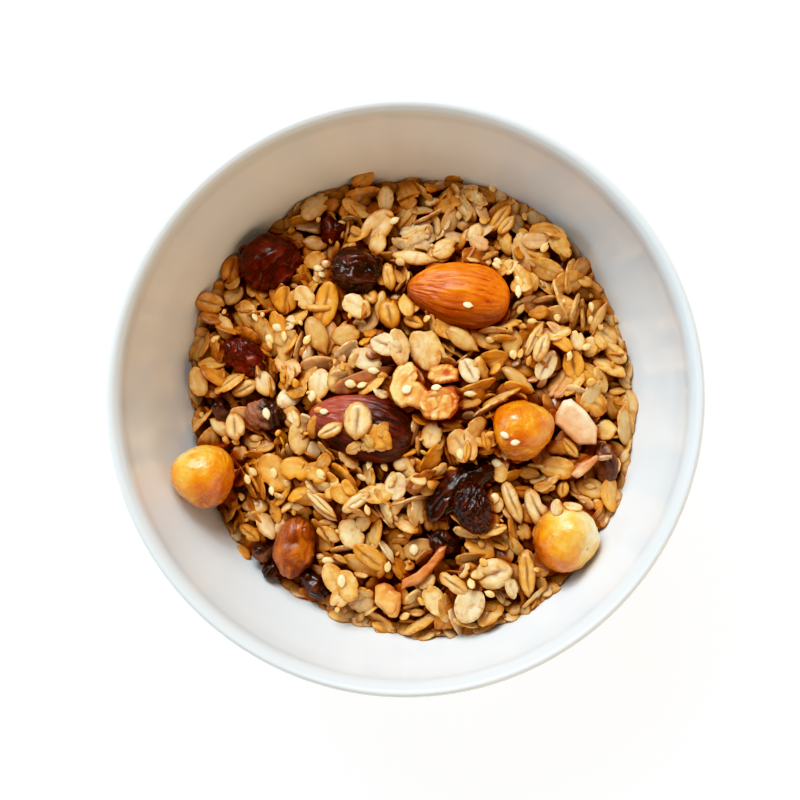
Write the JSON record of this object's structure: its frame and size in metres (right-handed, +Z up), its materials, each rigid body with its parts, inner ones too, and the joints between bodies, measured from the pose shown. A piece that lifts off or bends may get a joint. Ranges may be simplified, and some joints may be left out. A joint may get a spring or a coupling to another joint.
{
  "type": "bowl of granola",
  "caption": "Small round white porcelain bowl filled with baked oat granola, with almonds, hazelnuts, raisins and walnut pieces lying in the flakes.",
  "frame": {"origin": "centre of the foot ring, on the plane that the bowl stands on", "axes": "+Z up along the bowl's axis; +X to the right and +Y to the top of the bowl as it is seen from above"},
  "size_m": [0.136, 0.136, 0.062],
  "materials": {
    "porcelain": "white glaze, high gloss",
    "baked_oats": "baked oat flakes with a thin dry syrup glaze, golden beige to brown",
    "almond": "roasted brown almond skin with fine lengthwise wrinkles",
    "hazelnut": "skinned roasted kernel, golden, slightly oily",
    "raisin": "dark wrinkled dried fruit, slightly sticky gloss",
    "golden_raisin": "amber wrinkled dried fruit, slightly sticky gloss",
    "walnut": "broken roasted walnut, oily golden cut faces",
    "nut_chip": "pale cream broken nut, matte"
  },
  "bodies": {
    "root": {"bowl": "porcelain", "granola": "baked_oats", "almond_1": "almond", "almond_2": "almond", "hazelnut_1": "hazelnut", "hazelnut_2": "hazelnut", "hazelnut_3": "hazelnut", "raisin_1": "raisin", "raisin_2": "raisin", "raisin_3": "raisin", "raisin_4": "raisin", "raisin_5": "raisin", "raisin_6": "golden_raisin", "raisin_7": "raisin", "raisin_8": "raisin", "raisin_9": "raisin", "raisin_10": "raisin", "raisin_11": "raisin", "raisin_12": "raisin", "raisin_13": "raisin", "raisin_14": "raisin", "walnut_1": "walnut", "walnut_2": "walnut", "walnut_3": "walnut", "nut_chip_1": "nut_chip", "nut_chip_2": "nut_chip", "nut_chip_3": "nut_chip"}
  },
  "joints": []
}
